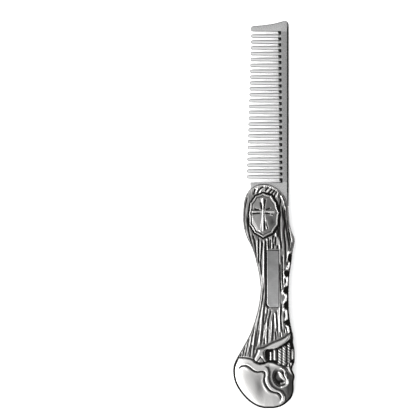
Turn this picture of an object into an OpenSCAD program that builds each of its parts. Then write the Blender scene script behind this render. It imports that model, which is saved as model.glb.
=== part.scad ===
// Folding beard comb: a flat toothed comb plate that turns half a turn
// into a slotted handle made of two castings, joined by a back spacer.
// The origin is the pivot axis on the face that the comb lies on.
// +Y runs from the pivot to the comb's tip, +Z out of the front casting.

/* [Comb plate] */
// Thickness of the comb plate
blade_t = 1.4; // [1:0.1:2]
// Distance from the pivot axis to the comb's tip
blade_reach = 97; // [80:1:118]
// Number of fine teeth, without the broad guard tooth at the tip
tooth_count = 25; // [15:1:31]
// Width of one tooth
tooth_w = 1.8; // [1:0.1:2.1]
// Width of the guard tooth at its end
guard_w = 2.8; // [2:0.1:3.6]
// Width of the spine beside the gap nearest the pivot
spine_w = 4.75; // [3.5:0.05:6]
// How far the spine widens for each millimetre towards the tip
spine_taper = 0.0095; // [0:0.0005:0.02]
// How far the teeth shorten for each millimetre towards the tip
tip_taper = 0.032; // [0:0.002:0.04]
// Length of the sloped end of each gap
ramp_len = 1.5; // [0.8:0.1:2.2]

/* [Handle] */
// Width of the handle at the pivot
handle_w = 23; // [19:0.5:28]
// Length of the handle past the folded comb's tip
butt_margin = 3.5; // [3:0.5:10]
// Height of a casting's edge above the slot
rim_h = 1.3; // [1:0.1:2]
// Height of the draped part above the slot
drape_h = 2.7; // [2.5:0.1:3.4]
// Height of the skull and of the crest above the slot
crown_h = 3.8; // [3.6:0.1:5]
// Depth of the drapery's folds
fold_depth = 0.3; // [0:0.05:0.45]
// Number of folds across the handle
fold_count = 5; // [3:1:5]
// Number of curled pockets down the right edge
curl_count = 5; // [3:1:6]

/* [Crest and name plates] */
// Width of a crest badge
crest_w = 15.1; // [12:0.1:15.8]
// Width of a plain name plate
plate_w = 6; // [4:0.2:6.6]
// Length of a plain name plate
plate_l = 28.8; // [20:0.2:31]
// Thickness of a plain name plate
plate_t = 0.9; // [0.6:0.1:1.2]

/* [Pivot] */
// Radius of the pivot barrel
barrel_r = 2.5; // [2:0.1:3]
// Radius of the pivot barrel's hidden head
barrel_head_r = 3.8; // [3.4:0.1:4.6]
// Radius of the pivot screw's shank
pivot_screw_r = 1.5; // [1.2:0.1:1.6]
// Radius of the pivot screw's head
pivot_head_r = 3; // [2.4:0.1:3.6]
// Thickness of each washer beside the comb plate
washer_t = 0.28; // [0.2:0.02:0.6]
// Outer radius of each washer
washer_r = 4.6; // [4:0.1:6]

/* [Body screws] */
// Radius of a body screw's shank
screw_r = 1; // [0.8:0.05:1.2]
// Radius of a body screw's head
screw_head_r = 1.9; // [1.6:0.1:2.1]
// Thickness of a body screw's head
screw_head_t = 0.8; // [0.6:0.05:1]

/* [Hidden] */
$fn = 64;

// Clearances
side_gap = 0.02;     // comb plate to each washer
run_gap = 0.03;      // comb plate's bore round the barrel, on the radius
fit_gap = 0.03;      // a shank in a hole that does not turn, on the radius
head_gap = 0.1;      // a screw's head in its counterbore, on the radius
stop_gap = 0.03;     // comb plate to the spacer at either end of its turn
sweep_gap = 0.15;    // round tang to the spacer
tip_gap = 0.35;      // folded tooth tips to the spacer
seat_gap = 0.05;     // badge or plate to the sides of its seat
cut = 0.1;           // how far a cut runs past a face

// Levels. The rear casting's crown is at zero.
slot_t = blade_t + 2 * (washer_t + side_gap);
slot_z = crown_h;
front_z = slot_z + slot_t;
blade_z = slot_z + washer_t + side_gap;
crest_sink = 0.4;    // how deep a crest badge sits in the draped part
crest_seat = drape_h - crest_sink;
crest_t = crown_h - crest_seat;
plate_rise = 0.1;
plate_seat = drape_h + plate_rise - plate_t;

// Comb plate's layout
half_w = handle_w / 2;
spine_x = half_w + 0.1;
nose_w = 2.5;        // spacer beside the tang
flat_depth = 0.6;    // tang's flat inside its round
tang_r = half_w - nose_w;
flat_x = tang_r - flat_depth;
tang_top = 14.6;
shoulder_y = 2.7;
guard_y = blade_reach - 5.4;
first_y = tang_top + 2.8;
last_y = guard_y - 2.3;
tooth_pitch = (last_y - first_y) / (tooth_count - 1);
tip_reach = half_w - 1.6;
function tip_x(y) = tip_reach - tip_taper * (y - first_y);
function root_x(y) = spine_x - spine_w - spine_taper * (y - first_y);

// Handle's outline: [y, left x, right x] at stations of a handle that is
// drawn_w wide and whose butt lies drawn_butt below the pivot. The outline
// is a smooth curve between them.
drawn_w = 23;
drawn_butt = 100.5;
stations = [
    [13.7, -2.6, 0.2], [13.2, -4.5, 2.3], [12, -6.8, 4.7], [10, -8.9, 7.2],
    [7, -10.5, 9.6], [3, -11.3, 11], [-2, -11.6, 11.5], [-6.5, -11.5, 11.9],
    [-10.5, -10.7, 13], [-14, -9.5, 14.4], [-17, -7.9, 14.3],
    [-20.5, -6.4, 13.5], [-26, -4.9, 12.9], [-33, -3.4, 11.8],
    [-40, -2.7, 11.5], [-48, -3.6, 11.5], [-55, -5.3, 12],
    [-60.5, -7.1, 13], [-63.8, -8.5, 13.9], [-67, -10.2, 13.8],
    [-70.5, -12.1, 14.5], [-74, -14.2, 14.6], [-77.5, -16, 14.3],
    [-80.5, -16.7, 13.2], [-84, -16.6, 14.5], [-87.5, -15.7, 14],
    [-91, -13.9, 14.1], [-94.5, -11.2, 13.2], [-97.3, -8.2, 10.9],
    [-99.5, -4.6, 7.6], [-100.5, -1, 4]
];
scale_x = handle_w / drawn_w;
scale_y = (blade_reach + butt_margin) / drawn_butt;
function down(y) = y * scale_y;
function placed(s) = [s[0] > 0 ? s[0] * scale_x : down(s[0]), s[1] * scale_x, s[2] * scale_x];
function station(i) = placed(stations[min(max(i, 0), len(stations) - 1)]);
function curve(a, b, c, d, t) =
    0.5 * (2 * b + (c - a) * t + (2 * a - 5 * b + 4 * c - d) * t * t
           + (3 * b - a - 3 * c + d) * t * t * t);
steps = 2;
rows = [
    for (i = [0 : len(stations) - 2], k = [0 : steps - 1])
        curve(station(i - 1), station(i), station(i + 1), station(i + 2), k / steps),
    station(len(stations) - 1)
];
right_edge = [for (r = rows) [-r[0], r[2]]];
function right_x(y) = lookup(-y, right_edge);
function smooth(a, b, x) = let (t = min(max((x - a) / (b - a), 0), 1)) t * t * (3 - 2 * t);
function mix(a, b, t) = a + (b - a) * t;

// Casting: height over the slot at distance d in from its edge
skull_y = down(-72);
drape_round = 3.2;
skull_round = 9.5;
function skull_share(y) = 1 - smooth(skull_y - 6, skull_y + 4, y);
function crown_at(y) = mix(drape_h, crown_h, skull_share(y));
function round_at(y) = mix(drape_round, skull_round, skull_share(y)) * scale_x;
function edge_share(d, r) = d >= r ? 1 : sqrt(1 - pow(1 - max(d, 0) / r, 2));
function body_h(y, d) = mix(rim_h, crown_at(y), edge_share(d, round_at(y)));
// Folds run along the handle and fade at its edges and on the skull
fold_edge = 0.16;
fold_sway = 0.35;
function fold_h(y, u) =
    fold_depth * (1 - skull_share(y)) * smooth(0, fold_edge, min(u, 1 - u))
    * cos(360 * (fold_count * u + fold_sway * sin(2.5 * y)));

columns = 28;
module casting_body() {
    n = len(rows);
    w = columns + 1;
    top = [
        for (r = rows, j = [0 : columns])
            let (u = j / columns, x = mix(r[1], r[2], u), d = min(x - r[1], r[2] - x))
            [x, r[0], body_h(r[0], d) + fold_h(r[0], u)]
    ];
    base = [for (r = rows, x = [r[1], r[2]]) [x, r[0], 0]];
    first = len(top);
    last = (n - 1) * w;
    corners = [for (i = [0 : n - 2], j = [0 : columns - 1]) i * w + j];
    polyhedron(
        concat(top, base),
        concat(
            [for (a = corners) [a, a + 1, a + w + 1]],
            [for (a = corners) [a, a + w + 1, a + w]],
            [for (i = [0 : n - 2])
                let (b = first + 2 * i) [i * w, (i + 1) * w, b + 2, b]],
            [for (i = [0 : n - 2])
                let (a = i * w + columns, b = first + 2 * i + 1) [a, b, b + 2, a + w]],
            [for (i = [0 : n - 2])
                let (b = first + 2 * i) [b, b + 2, b + 3, b + 1]],
            [concat([for (j = [columns : -1 : 0]) j], [first, first + 1])],
            [concat([for (j = [0 : columns]) last + j],
                    [first + 2 * n - 1, first + 2 * n - 2])]
        ),
        convexity = 8
    );
}

// Crest outline on a badge one wide and one and a half high, round its
// own middle
crest_corners = [
    [-0.03, 0.75], [-0.27, 0.66], [-0.45, 0.4], [-0.5, 0.08], [-0.49, -0.3],
    [-0.31, -0.58], [-0.02, -0.75], [0.29, -0.58], [0.46, -0.31], [0.5, 0.09],
    [0.4, 0.42], [0.24, 0.67]
];
crest_mid = [-0.05 * handle_w, -0.1 * handle_w];
crest_rim = 0.9;
moat_w = 0.6;
module crest_outline(grow) {
    k = (crest_w + 2 * grow) / crest_w;
    translate(crest_mid)
        polygon([for (p = crest_corners) p * crest_w * k]);
}
// One flared arm of the cross, from the middle to its end
module cross_arm(turn, reach) {
    narrow = 0.06 * crest_w;
    wide = 0.17 * crest_w;
    translate(crest_mid)
        rotate(turn)
            polygon([[0, -narrow], [reach, -wide], [reach, wide], [0, narrow]]);
}

// Name plate: one lower corner is cut off
plate_x = 0.4 * scale_x;
plate_top = -20.1;
plate_corner = 1.6;
module plate_outline(grow) {
    x0 = plate_x - grow;
    x1 = plate_x + plate_w + grow;
    y0 = plate_top - plate_l - grow;
    y1 = plate_top + grow;
    polygon([[x0 + plate_corner, y0], [x1, y0], [x1, y1], [x0, y1], [x0, y0 + plate_corner]]);
}

// Where the body screws go
screw_inset = 2.6;
waist_y = down(-64);
butt_y = down(-88);
function screw_at(y) = [right_x(y) - screw_inset, y];
screw_floor = drape_h - 1.2;
screw_end = drape_h - 0.8;

// Pivot levels
barrel_head_t = 0.9;
barrel_floor = crest_seat - barrel_head_t;
barrel_end_z = crest_t + 0.15;
barrel_roof = 1.1;
pivot_head_t = 0.8;
pivot_recess = 0.15;
pivot_head_z = pivot_recess + pivot_head_t;

// Curled pockets down the right edge
curl_first = down(-23.7);
curl_last = down(-56);
curl_r = 1.7;
function curl_y(i) = mix(curl_first, curl_last, i / (curl_count - 1));

// What both castings have carved into them, over a slot face at zero
module carving() {
    translate([0, 0, crest_seat])
        linear_extrude(crown_h)
            crest_outline(moat_w);
    translate([0, 0, plate_seat])
        linear_extrude(crown_h)
            plate_outline(seat_gap);
    for (i = [0 : curl_count - 1])
        translate([right_x(curl_y(i)) - curl_r, curl_y(i), drape_h])
            sphere(r = curl_r);
    skull_carving();
}
// Eye socket, nose hollow and the slits between the teeth
eye_r = 2.7;
slit_w = 0.7;
slit_count = 6;
module skull_carving() {
    translate([5.2 * scale_x, down(-84), crown_h + 1])
        sphere(r = eye_r);
    translate([11.6 * scale_x, down(-79.5), drape_h + 1])
        sphere(r = 1.9);
    for (i = [0 : slit_count - 1])
        translate([(2.4 + 1.9 * i) * scale_x, down(-77.5 + 0.9 * i), drape_h])
            rotate(8)
                linear_extrude(crown_h)
                    square([slit_w, 6.4], center = false);
}

// Round pocket under the skull, open to the slot, that keeps the wall even
pocket_r = 8.5;
pocket_depth = crown_h - 2.2;
module pocket() {
    translate([-3 * scale_x, down(-84), -cut])
        cylinder(r = pocket_r * scale_x, h = pocket_depth + cut);
}

module front_casting() {
    color([0.62, 0.61, 0.58])
        translate([0, 0, front_z])
            difference() {
                casting_body();
                carving();
                pocket();
                translate([0, 0, barrel_floor])
                    cylinder(r = barrel_head_r + head_gap, h = crown_h);
                translate([0, 0, -cut])
                    cylinder(r = barrel_r + fit_gap, h = crown_h);
                for (y = [waist_y, butt_y])
                    translate([screw_at(y)[0], y, -cut])
                        cylinder(r = screw_r + fit_gap, h = screw_end + cut);
            }
}

module rear_casting() {
    color([0.58, 0.57, 0.54])
        translate([0, 0, slot_z])
            mirror([0, 0, 1])
                difference() {
                    casting_body();
                    carving();
                    pocket();
                    translate([0, 0, -cut])
                        cylinder(r = barrel_r + fit_gap, h = crown_h);
                    for (y = [waist_y, butt_y])
                        translate([screw_at(y)[0], y, -cut]) {
                            cylinder(r = screw_r + fit_gap, h = crown_h);
                            translate([0, 0, screw_floor + cut])
                                cylinder(r = screw_head_r + head_gap, h = crown_h);
                        }
                }
}

module front_crest() {
    field_depth = 0.5;
    cross_l = crest_w / 2;
    color([0.7, 0.69, 0.66])
        translate([0, 0, front_z + crest_seat])
            union() {
                linear_extrude(crest_t - field_depth)
                    crest_outline(0);
                linear_extrude(crest_t)
                    difference() {
                        crest_outline(0);
                        crest_outline(-crest_rim);
                    }
                linear_extrude(crest_t)
                    intersection() {
                        crest_outline(-crest_rim / 2);
                        union() {
                            cross_arm(0, cross_l);
                            cross_arm(90, 1.5 * cross_l);
                            cross_arm(180, cross_l);
                            cross_arm(270, 1.5 * cross_l);
                        }
                    }
            }
}

module rear_crest() {
    color([0.66, 0.65, 0.62])
        difference() {
            linear_extrude(crest_t)
                crest_outline(0);
            translate([0, 0, -cut])
                cylinder(r = pivot_head_r + head_gap, h = pivot_head_z + cut);
            cylinder(r = pivot_screw_r + fit_gap, h = crest_t + cut);
        }
}

module front_name_plate() {
    color([0.55, 0.55, 0.55])
        translate([0, 0, front_z + plate_seat])
            linear_extrude(plate_t)
                plate_outline(0);
}

module rear_name_plate() {
    color([0.55, 0.55, 0.55])
        translate([0, 0, slot_z - plate_seat - plate_t])
            linear_extrude(plate_t)
                plate_outline(0);
}

// Tang, spine, guard and teeth, seen from the front
module comb_outline() {
    difference() {
        union() {
            intersection() {
                circle(r = tang_r);
                translate([-flat_x, -handle_w])
                    square([2 * handle_w, handle_w + shoulder_y]);
            }
            translate([-flat_x, 0])
                square([flat_x + spine_x, tang_top]);
            spine_outline();
            for (i = [0 : tooth_count - 1])
                tooth_outline(tooth_y(i));
        }
        translate([flat_x, -cut])
            square([handle_w, shoulder_y + cut]);
        circle(r = barrel_r + run_gap);
    }
}
module spine_outline() {
    tip = blade_reach;
    left = -tip_x(guard_y) - 0.3;
    polygon([
        [root_x(tang_top), tang_top - 1], [spine_x, tang_top - 1],
        [spine_x, tip - 1.7], [spine_x - 0.5, tip - 0.6], [spine_x - 1.3, tip - 0.1],
        [spine_x - 2.3, tip], [6.7 * scale_x, tip - 0.8], [3.5 * scale_x, tip - 1.6],
        [-1.4 * scale_x, tip - 2.2], [left + 1.2, guard_y + guard_w],
        [left + 0.3, guard_y + guard_w - 0.5], [left, guard_y + guard_w / 2],
        [left + 0.2, guard_y + 0.4], [left + 1, guard_y], [root_x(guard_y), guard_y]
    ]);
}
module tooth_outline(y) {
    r = tooth_w / 2;
    translate([-tip_x(y) + r, y])
        circle(r = r, $fn = 24);
    translate([-tip_x(y) + r, y - r])
        square([tip_x(y) + root_x(y) - r + 1, tooth_w]);
}

// Slopes at the root of one gap, cut into both faces of the plate, so
// that the root is a blunt wedge between them
root_t = 0.4;
module root_slopes(low, high) {
    depth = (blade_t - root_t) / 2;
    translate([root_x(low), high, 0])
        rotate([90, 0, 0])
            linear_extrude(high - low)
                for (face = [[blade_t, 1], [0, -1]])
                    polygon([
                        [-cut, face[0] - face[1] * depth],
                        [ramp_len, face[0]],
                        [ramp_len, face[0] + face[1] * cut],
                        [-cut, face[0] + face[1] * cut]
                    ]);
}
function tooth_y(i) = first_y + i * tooth_pitch;
function gap_low(i) = i == 0 ? tang_top : tooth_y(i - 1) + tooth_w / 2;
function gap_high(i) = i == tooth_count ? guard_y : tooth_y(i) - tooth_w / 2;

module comb_plate() {
    color([0.5, 0.5, 0.5])
        translate([0, 0, blade_z])
            difference() {
                linear_extrude(blade_t)
                    comb_outline();
                for (i = [0 : tooth_count])
                    root_slopes(gap_low(i), gap_high(i));
            }
}

// Back spacer: fills the slot's right side and stops the comb plate
spacer_top = shoulder_y - stop_gap;
spacer_end = down(-95);
spacer_inset = 0.15;
leaf_w = 1.85;
foot_w = 4.8;
foot_y = waist_y + 6;
foot_blend = 5;
nose_y = -tang_top - 0.6;
function spacer_w(y) = mix(foot_w, leaf_w, smooth(foot_y, foot_y + foot_blend, y));
function spacer_left(y) =
    max(right_x(y) - spacer_inset - spacer_w(y), tip_x(-y) + tip_gap);
module spacer_outline() {
    nose_levels = [spacer_top, 0, -4, -8, -12, nose_y];
    levels = [for (k = [0 : 40]) mix(nose_y, spacer_end, k / 40)];
    n = len(levels);
    difference() {
        polygon(concat(
            [[flat_x + stop_gap, spacer_top]],
            [for (y = nose_levels) [right_x(y) - spacer_inset, y]],
            [for (i = [1 : n - 1]) [right_x(levels[i]) - spacer_inset, levels[i]]],
            [for (i = [n - 1 : -1 : 0]) [spacer_left(levels[i]), levels[i]]],
            [[flat_x + stop_gap, nose_y]]
        ));
        circle(r = tang_r + sweep_gap);
        for (y = [waist_y, butt_y])
            translate(screw_at(y))
                circle(r = screw_r + fit_gap);
    }
}
module back_spacer() {
    color([0.4, 0.4, 0.4])
        translate([0, 0, slot_z])
            linear_extrude(slot_t)
                spacer_outline();
}

module pivot_barrel() {
    color([0.6, 0.6, 0.6])
        difference() {
            union() {
                translate([0, 0, barrel_end_z])
                    cylinder(r = barrel_r, h = front_z + barrel_floor - barrel_end_z);
                translate([0, 0, front_z + barrel_floor])
                    cylinder(r = barrel_head_r, h = barrel_head_t);
            }
            translate([0, 0, barrel_end_z - cut])
                cylinder(
                    r = pivot_screw_r + fit_gap,
                    h = front_z + crest_seat - barrel_roof - barrel_end_z + cut
                );
        }
}

// A flat-headed screw whose head is at the bottom, with a cross recess
module screw(shank_r, shank_l, head_r, head_t) {
    slot_w = 0.28 * head_r;
    slot_l = 1.3 * head_r;
    recess = 0.55 * head_t;
    difference() {
        union() {
            cylinder(r = head_r, h = head_t);
            translate([0, 0, head_t])
                cylinder(r = shank_r, h = shank_l);
        }
        for (turn = [0, 90])
            rotate(turn)
                translate([-slot_l / 2, -slot_w / 2, -cut])
                    cube([slot_l, slot_w, recess + cut]);
    }
}
module pivot_screw() {
    color([0.7, 0.7, 0.7])
        translate([0, 0, pivot_recess])
            screw(
                pivot_screw_r,
                front_z + crest_seat - barrel_roof - 0.3 - pivot_head_z,
                pivot_head_r,
                pivot_head_t
            );
}
module body_screw(y) {
    head_z = slot_z - screw_floor - screw_head_t;
    color([0.7, 0.7, 0.7])
        translate([screw_at(y)[0], y, head_z])
            screw(
                screw_r,
                front_z + screw_end - 0.2 - head_z - screw_head_t,
                screw_head_r,
                screw_head_t
            );
}
module waist_screw() { body_screw(waist_y); }
module butt_screw() { body_screw(butt_y); }

module washer(z) {
    color([0.75, 0.65, 0.35])
        translate([0, 0, z])
            difference() {
                cylinder(r = washer_r, h = washer_t);
                translate([0, 0, -cut])
                    cylinder(r = barrel_r + fit_gap, h = washer_t + 2 * cut);
            }
}
module front_washer() { washer(front_z - washer_t); }
module rear_washer() { washer(slot_z); }

comb_plate();
front_casting();
rear_casting();
front_crest();
rear_crest();
front_name_plate();
rear_name_plate();
back_spacer();
pivot_barrel();
pivot_screw();
front_washer();
rear_washer();
waist_screw();
butt_screw();
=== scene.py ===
"""Looks of the folding beard comb: relief castings, crest, name plates, comb plate and hardware.

Sizes inside are in millimetres, in the part's own frame: the pivot axis is x = y = 0, and the comb
lies on z = 0. Meshes are made in metres.
"""

import math

import bmesh
import bpy
import numpy as np
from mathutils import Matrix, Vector


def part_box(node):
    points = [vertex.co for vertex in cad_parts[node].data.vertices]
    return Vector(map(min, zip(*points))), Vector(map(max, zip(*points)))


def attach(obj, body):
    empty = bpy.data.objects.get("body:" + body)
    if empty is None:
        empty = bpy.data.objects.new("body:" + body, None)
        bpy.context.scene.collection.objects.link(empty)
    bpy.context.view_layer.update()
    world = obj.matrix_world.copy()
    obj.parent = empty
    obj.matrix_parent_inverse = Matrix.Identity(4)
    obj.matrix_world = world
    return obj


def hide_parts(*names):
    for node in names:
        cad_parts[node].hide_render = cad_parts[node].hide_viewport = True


MM = 0.001

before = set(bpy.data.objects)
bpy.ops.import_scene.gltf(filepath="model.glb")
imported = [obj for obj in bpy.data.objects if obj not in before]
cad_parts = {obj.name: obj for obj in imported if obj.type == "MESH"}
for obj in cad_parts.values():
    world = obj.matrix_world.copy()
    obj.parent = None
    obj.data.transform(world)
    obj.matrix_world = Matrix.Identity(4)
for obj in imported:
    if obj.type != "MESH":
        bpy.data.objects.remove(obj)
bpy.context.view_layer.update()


def level(node, end):
    """Lowest (end 0) or highest (end 1) z of a CAD node, in mm."""
    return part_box(node)[end].z / MM


FRONT_Z = level("front_casting", 0)
TOP_Z = level("front_casting", 1)
SLOT_Z = level("rear_casting", 1)
CROWN_H = TOP_Z - FRONT_Z
PLATE_SEAT_H = level("front_name_plate", 0) - FRONT_Z
CREST_SEAT_H = level("front_crest", 0) - FRONT_Z
CREST_T = level("front_crest", 1) - level("front_crest", 0)
RIM_H = 1.3
DRAPE_H = 2.7


# ---------- curves and fields


def smooth(a, b, x):
    t = np.clip((x - a) / (b - a), 0, 1)
    return t * t * (3 - 2 * t)


def spline(points, steps=6):
    """Smooth curve through points (Catmull-Rom), as an array."""
    p = np.array(points, float)
    if len(p) < 3:
        return p
    p = np.vstack([2 * p[0] - p[1], p, 2 * p[-1] - p[-2]])
    t = np.linspace(0, 1, steps, endpoint=False)[:, None]
    parts = []
    for a, b, c, d in zip(p[:-3], p[1:-2], p[2:-1], p[3:]):
        square = 2 * a - 5 * b + 4 * c - d
        cube = 3 * b - a - 3 * c + d
        parts.append(0.5 * (2 * b + (c - a) * t + square * t**2 + cube * t**3))
    return np.vstack(parts + [p[-2:-1]])


def bell(distance, width, power=2):
    """1 at distance 0 and about a third at width, with a steeper edge for a higher power."""
    return np.exp(-((distance / width) ** power))


def blob(dx, dy, rx, ry):
    """1 in the middle of an oval, falling off round it."""
    return np.exp(-((dx / rx) ** 2) - ((dy / ry) ** 2))


def arc(radius, degrees, middle=(0, 0), height=()):
    """Points of an arc about its middle, each followed by a height where one is given."""
    turns = [math.radians(a) for a in degrees]
    x, y = middle
    return [(x + radius * math.cos(t), y + radius * math.sin(t), *height) for t in turns]


def line_field(x, y, line):
    """Distance of each point from a polyline, and how far along it that is (0 to 1)."""
    seg = np.diff(line, axis=0)
    length = np.hypot(seg[:, 0], seg[:, 1])
    start = np.concatenate([[0], np.cumsum(length)])
    best = np.full(x.shape, 1e9)
    along = np.zeros(x.shape)
    for (x0, y0), (dx, dy), size, s in zip(line[:-1], seg, length, start):
        if size == 0:
            continue
        t = np.clip(((x - x0) * dx + (y - y0) * dy) / size**2, 0, 1)
        d = np.hypot(x - x0 - t * dx, y - y0 - t * dy)
        near = d < best
        best = np.where(near, d, best)
        along = np.where(near, (s + t * size) / start[-1], along)
    return best, along


def edges(polygon):
    """Both ends of each side of a closed polygon."""
    ring = np.array(polygon)
    return zip(ring, np.roll(ring, -1, axis=0))


def inside(x, y, polygon):
    """True where a point is inside a closed polygon."""
    hit = np.zeros(x.shape, bool)
    for (x0, y0), (x1, y1) in edges(polygon):
        if y0 == y1:
            continue
        crosses = (y0 > y) != (y1 > y)
        hit ^= crosses & (x < (x1 - x0) * (y - y0) / (y1 - y0) + x0)
    return hit


def signed(x, y, polygon):
    """Distance inside (+) or outside (-) a closed polygon."""
    ring = np.vstack([polygon, polygon[:1]])
    d = line_field(x, y, ring)[0]
    return np.where(inside(x, y, polygon), d, -d)


def facets(x, y, polygon, scallop=0.0):
    """Distance inside (+) or outside (-) the sides of a convex polygon, each side hollowed in
    its middle by scallop."""
    middle = np.mean(polygon, axis=0)
    best = np.full(x.shape, 1e9)
    for (x0, y0), (x1, y1) in edges(polygon):
        size = math.hypot(x1 - x0, y1 - y0)
        nx, ny = (y0 - y1) / size, (x1 - x0) / size
        sign = math.copysign(1, nx * (middle[0] - x0) + ny * (middle[1] - y0))
        share = np.clip(((x - x0) * (x1 - x0) + (y - y0) * (y1 - y0)) / size**2, 0, 1)
        d = sign * (nx * (x - x0) + ny * (y - y0)) - scallop * np.sin(math.pi * share)
        best = np.minimum(best, d)
    return best


class Relief:
    """Heights over a grid of points, with how dark each is from oxide and painted shade, and how
    bright from polish and painted highlight.
    """

    def __init__(self, x, y, height):
        self.x, self.y = x, y
        self.h = height
        self.oxide_and_shade = np.zeros(x.shape)
        self.highlight_and_polish = np.zeros(x.shape)

    def window(self, line, reach):
        low, high = line.min(0) - reach, line.max(0) + reach
        return np.nonzero(
            (self.x > low[0]) & (self.x < high[0]) & (self.y > low[1]) & (self.y < high[1])
        )

    def stroke(self, points, width, height, oxide_and_shade, ends=0.12, keep=None):
        """A round ridge (height above 0) or groove (below 0) along a smooth line, darkened by
        oxide and painted shade or, where that share is below 0, polished with a painted highlight."""
        line = spline(points)
        at = self.window(line, 4 * width)
        d, along = line_field(self.x[at], self.y[at], line)
        shape = bell(d, width)
        tint = bell(d, 1.15 * width, 4)
        fade = np.ones(d.shape)
        if ends:
            fade = smooth(-0.02, ends, along) * smooth(-0.02, ends, 1 - along)
        if keep is not None:
            fade = fade * keep[at]
        self.h[at] += height * shape * fade
        if oxide_and_shade > 0:
            self.oxide_and_shade[at] = np.maximum(self.oxide_and_shade[at], oxide_and_shade * tint * fade)
            self.highlight_and_polish[at] *= 1 - tint * fade
        else:
            self.oxide_and_shade[at] *= 1 + oxide_and_shade * tint * fade
            self.highlight_and_polish[at] = np.maximum(self.highlight_and_polish[at], -oxide_and_shade * tint * fade)

    def pit(self, cx, cy, rx, ry, depth, oxide_and_shade=0.0, turn=0.0, soft=0.35):
        """A rounded oval hollow (depth above 0) or hill (below 0)."""
        c, s = math.cos(math.radians(turn)), math.sin(math.radians(turn))
        u = ((self.x - cx) * c + (self.y - cy) * s) / rx
        v = (-(self.x - cx) * s + (self.y - cy) * c) / ry
        shape = 1 - smooth(1 - soft, 1 + soft, np.hypot(u, v))
        self.h -= depth * shape
        if oxide_and_shade:
            self.blacken(oxide_and_shade * shape)
            self.highlight_and_polish *= 1 - shape

    def blacken(self, share):
        self.oxide_and_shade = np.maximum(self.oxide_and_shade, share)

    def polish_and_highlight(self, share):
        self.highlight_and_polish = np.maximum(self.highlight_and_polish, share)

    def tone(self):
        """1 where black, from oxide in hollows and painted shade elsewhere, 0 plain, -1 where polished
        bright with painted highlights.
        """
        dark = np.clip(self.oxide_and_shade, 0, 1)
        return dark - np.clip(self.highlight_and_polish, 0, 1) * (1 - dark)


# ---------- meshes


def quads(a, b):
    """Four-cornered faces between two rows of corners."""
    return list(zip(a[:-1], a[1:], b[1:], b[:-1]))


def add_object(name, verts, faces, material):
    """A new object from corners in metres, put into the scene."""
    mesh = bpy.data.meshes.new(name)
    mesh.from_pydata(verts, [], faces)
    mesh.materials.append(material)
    obj = bpy.data.objects.new(name, mesh)
    bpy.context.scene.collection.objects.link(obj)
    return obj


def add_piece(name, verts, faces, material, tones):
    """A closed, smooth shaded piece from corners in mm, and the tone of each corner: oxide and painted
    shade above 0, polish and painted highlight below 0.
    """
    obj = add_object(name, [tuple(v) for v in np.asarray(verts) * MM], faces, material)
    mesh = obj.data
    solid = bmesh.new()
    solid.from_mesh(mesh)
    bmesh.ops.recalc_face_normals(solid, faces=solid.faces)
    solid.to_mesh(mesh)
    solid.free()
    layer = mesh.attributes.new("oxide_and_shade", "FLOAT", "POINT")
    layer.data.foreach_set("value", np.asarray(tones, np.float32))
    mesh.polygons.foreach_set("use_smooth", [True] * len(mesh.polygons))
    return obj


WALL_TONE = 0.35


def grid_solid(name, x, y, top, base, tones, material, wall_share):
    """Closed solid under a grid of heights: rows by columns of x and y, down to a flat base.

    The side walls have one more row of corners, wall_share of the way to the base. A top below
    the base gives the same solid turned over."""
    rows, cols = x.shape
    verts = [np.stack([x, y, top], -1).reshape(-1, 3)]
    for share in (wall_share, 1.0):
        for side in (0, -1):
            z = top[:, side] * (1 - share) + base * share
            verts.append(np.stack([x[:, side], y[:, side], z], -1))
    tones = np.concatenate([tones.reshape(-1), np.full(4 * rows, WALL_TONE)])
    number = np.arange(rows * cols).reshape(rows, cols).tolist()
    left, right = [[row[0] for row in number]], [[row[-1] for row in number]]
    for column, first in ((left, 0), (right, 1), (left, 2), (right, 3)):
        start = rows * (cols + first)
        column.append(list(range(start, start + rows)))
    faces = []
    for a, b in zip(number[:-1], number[1:]):
        faces += quads(a, b)
    for up, low in zip(left[:-1], left[1:]):
        faces += quads(up, low)
    for up, low in zip(right[:-1], right[1:]):
        faces += quads(up[::-1], low[::-1])
    faces += quads(left[-1], right[-1])
    faces.append(number[0][::-1] + [c[0] for c in left[1:]] + [c[0] for c in right[:0:-1]])
    faces.append(number[-1] + [c[-1] for c in right[1:]] + [c[-1] for c in left[:0:-1]])
    if top.mean() > base:
        faces = [f[::-1] for f in faces]
    return add_piece(name, np.vstack(verts), faces, material, tones)


# ---------- handle outline

# Stations down the handle: y, left x, right x
STATIONS = [
    (13.7, -2.6, 0.2), (13.2, -4.5, 2.3), (12, -6.8, 4.7), (10, -8.9, 7.2),
    (7, -10.5, 9.6), (3, -11.3, 11), (-2, -11.6, 11.5), (-6.5, -11.5, 11.9),
    (-10.5, -10.7, 13), (-14, -9.5, 14.4), (-17, -7.9, 14.3),
    (-20.5, -6.4, 13.5), (-26, -4.9, 12.9), (-33, -3.4, 11.8),
    (-40, -2.7, 11.5), (-48, -3.6, 11.5), (-55, -5.3, 12),
    (-60.5, -7.1, 13), (-63.8, -8.5, 13.9), (-67, -10.2, 13.8),
    (-70.5, -12.1, 14.5), (-74, -14.2, 14.6), (-77.5, -16, 14.3),
    (-80.5, -16.7, 13.2), (-84, -16.6, 14.5), (-87.5, -15.7, 14),
    (-91, -13.9, 14.1), (-94.5, -11.2, 13.2), (-97.3, -8.2, 10.9),
    (-99.5, -4.6, 7.6), (-100.5, -1, 4),
]

HANDLE_ROWS = 620
HANDLE_COLS = 132


def fill_rows(y, left, right, cols, pull):
    """Rows of points between two sides, drawn towards the sides by pull."""
    t = np.linspace(0, 1, cols)
    u = t - pull * np.sin(2 * math.pi * t) / (2 * math.pi)
    x = left[:, None] + (right - left)[:, None] * u[None, :]
    return x, np.repeat(y[:, None], cols, 1)


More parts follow.
